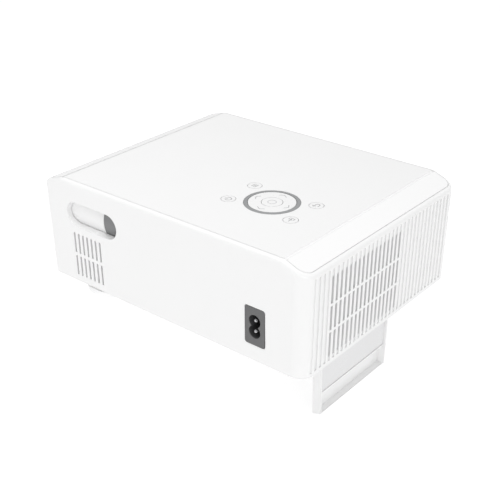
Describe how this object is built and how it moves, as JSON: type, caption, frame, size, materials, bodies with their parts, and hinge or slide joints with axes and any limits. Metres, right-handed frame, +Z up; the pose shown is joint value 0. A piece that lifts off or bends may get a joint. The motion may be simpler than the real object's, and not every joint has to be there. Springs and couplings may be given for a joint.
{
  "type": "projector with built-in disc player",
  "caption": "Low white table projector with a built-in disc drive, a round control ring on top, a side focus window and a pull-out air filter cassette.",
  "frame": {"origin": "centre of the case's underside, at the mouth of the tripod insert", "axes": "+Z up; -Y towards the lens face; +X towards the side with the focus window and the mains inlet"},
  "size_m": [0.198, 0.2512, 0.1344],
  "materials": {
    "alu_fins": "satin",
    "barrel_grey": "matte",
    "black_plastic": "matte",
    "board_green": "satin",
    "brass": "satin",
    "case_white": "satin",
    "cassette_white": "satin",
    "control_grey": "satin",
    "cover_white": "gloss",
    "foam_grey": "open foam",
    "inlet_grey": "matte",
    "key_white": "gloss",
    "lcd_dark": "gloss",
    "led_yellow": "satin",
    "lens_glass": "clear",
    "metal_sheet": "brushed",
    "pin_metal": "polished",
    "ring_white": "satin",
    "rubber_grey": "matte",
    "steel": "satin"
  },
  "bodies": {
    "case": {"av_sockets": "black_plastic", "body_shell": "case_white", "bottom_cover": "case_white", "condenser_lens": "lens_glass", "control_ring": "control_grey", "drive_chassis": "metal_sheet", "drive_lid": "metal_sheet", "engine_box": "black_plastic", "engine_lid": "metal_sheet", "fan_frame": "black_plastic", "filter_rails": "case_white", "fresnel_lenses": "lens_glass", "front_panel": "cover_white", "front_strip": "cover_white", "guide_rods": "steel", "hdmi_socket": "metal_sheet", "heatsink": "alu_fins", "housing_screws": "steel", "inlet_pins": "pin_metal", "key_board": "board_green", "key_switches": "black_plastic", "lcd_panel": "lcd_dark", "led_module": "led_yellow", "lens_barrel": "barrel_grey", "light_tunnel": "alu_fins", "loading_motor": "steel", "main_board": "board_green", "mains_inlet": "inlet_grey", "port_board": "board_green", "power_board": "board_green", "rear_feet": "rubber_grey", "sled_motor": "steel", "speaker": "black_plastic", "spindle_motor": "steel", "top_cover": "cover_white", "tripod_insert": "brass", "usb_socket": "metal_sheet"},
    "cassette": {"filter_cassette": "cassette_white", "filter_foam": "foam_grey"},
    "lens_group": {"lens_cell": "black_plastic", "front_lens": "lens_glass", "rear_lens": "lens_glass"},
    "focus": {"focus_ring": "ring_white"},
    "nav": {"nav_pad": "key_white"},
    "ok": {"ok_button": "key_white"},
    "power_key": {"key_power": "key_white"},
    "menu_key": {"key_menu": "key_white"},
    "back_key": {"key_back": "key_white"},
    "source_key": {"key_source": "key_white"},
    "fan": {"fan_rotor": "black_plastic"},
    "tray": {"disc_tray": "black_plastic", "tray_fascia": "cover_white", "tray_rack": "black_plastic"},
    "loading_wheel": {"loading_gear": "control_grey"},
    "spindle": {"turntable": "black_plastic"},
    "clamp": {"disc_clamp": "black_plastic"},
    "sled": {"pickup_sled": "black_plastic"},
    "screw": {"lead_screw": "steel"},
    "foot_right": {"front_foot_right": "case_white"},
    "foot_left": {"front_foot_left": "case_white"}
  },
  "joints": [
    {"name": "cassette_slide", "type": "slide", "parent": "case", "child": "cassette", "axis": [0, 0, 1], "range_m": [0, 0.0475]},
    {"name": "lens_slide", "type": "slide", "parent": "case", "child": "lens_group", "axis": [0, 1, 0], "range_m": [-0.003, 0.003]},
    {"name": "focus_turn", "type": "hinge", "parent": "case", "child": "focus", "pos_m": [0.069, -0.0895, 0.0595], "axis": [0, 1, 0], "range_deg": [-50, 50]},
    {"name": "nav_press", "type": "slide", "parent": "case", "child": "nav", "axis": [0, 0, -1], "range_m": [0, 0.0006], "stiffness_N_per_m": 300},
    {"name": "ok_press", "type": "slide", "parent": "case", "child": "ok", "axis": [0, 0, -1], "range_m": [0, 0.0006], "stiffness_N_per_m": 300},
    {"name": "power_press", "type": "slide", "parent": "case", "child": "power_key", "axis": [0, 0, -1], "range_m": [0, 0.0006], "stiffness_N_per_m": 300},
    {"name": "menu_press", "type": "slide", "parent": "case", "child": "menu_key", "axis": [0, 0, -1], "range_m": [0, 0.0006], "stiffness_N_per_m": 300},
    {"name": "back_press", "type": "slide", "parent": "case", "child": "back_key", "axis": [0, 0, -1], "range_m": [0, 0.0006], "stiffness_N_per_m": 300},
    {"name": "source_press", "type": "slide", "parent": "case", "child": "source_key", "axis": [0, 0, -1], "range_m": [0, 0.0006], "stiffness_N_per_m": 300},
    {"name": "fan_spin", "type": "hinge", "parent": "case", "child": "fan", "pos_m": [0.0265, 0.1, 0.04], "axis": [0, 1, 0], "continuous": true},
    {"name": "tray_slide", "type": "slide", "parent": "case", "child": "tray", "axis": [-1, 0, 0], "range_m": [0, 0.125]},
    {"name": "loading_turn", "type": "hinge", "parent": "case", "child": "loading_wheel", "pos_m": [-0.082, 0.0105, 0.0418], "axis": [0, 0, -1], "range_deg": [0, 900]},
    {"name": "disc_spin", "type": "hinge", "parent": "case", "child": "spindle", "pos_m": [-0.034, -0.043, 0.045], "axis": [0, 0, 1], "continuous": true},
    {"name": "clamp_spin", "type": "hinge", "parent": "case", "child": "clamp", "pos_m": [-0.034, -0.043, 0.053], "axis": [0, 0, 1], "continuous": true},
    {"name": "sled_slide", "type": "slide", "parent": "case", "child": "sled", "axis": [1, 0, 0], "range_m": [0, 0.032]},
    {"name": "screw_turn", "type": "hinge", "parent": "case", "child": "screw", "pos_m": [0.009, -0.0185, 0.0363], "axis": [1, 0, 0], "range_deg": [0, 3845]},
    {"name": "foot_right_turn", "type": "hinge", "parent": "case", "child": "foot_right", "pos_m": [0.077, -0.079, 0], "axis": [0, 0, 1], "range_deg": [0, 720]},
    {"name": "foot_left_turn", "type": "hinge", "parent": "case", "child": "foot_left", "pos_m": [-0.077, -0.079, 0], "axis": [0, 0, 1], "range_deg": [0, 720]}
  ],
  "couplings": [
    {"joint": "focus_turn", "follows": "lens_slide", "rad_per_m": 290},
    {"joint": "loading_turn", "follows": "tray_slide", "rad_per_m": 125},
    {"joint": "screw_turn", "follows": "sled_slide", "rad_per_m": 2094.4}
  ]
}
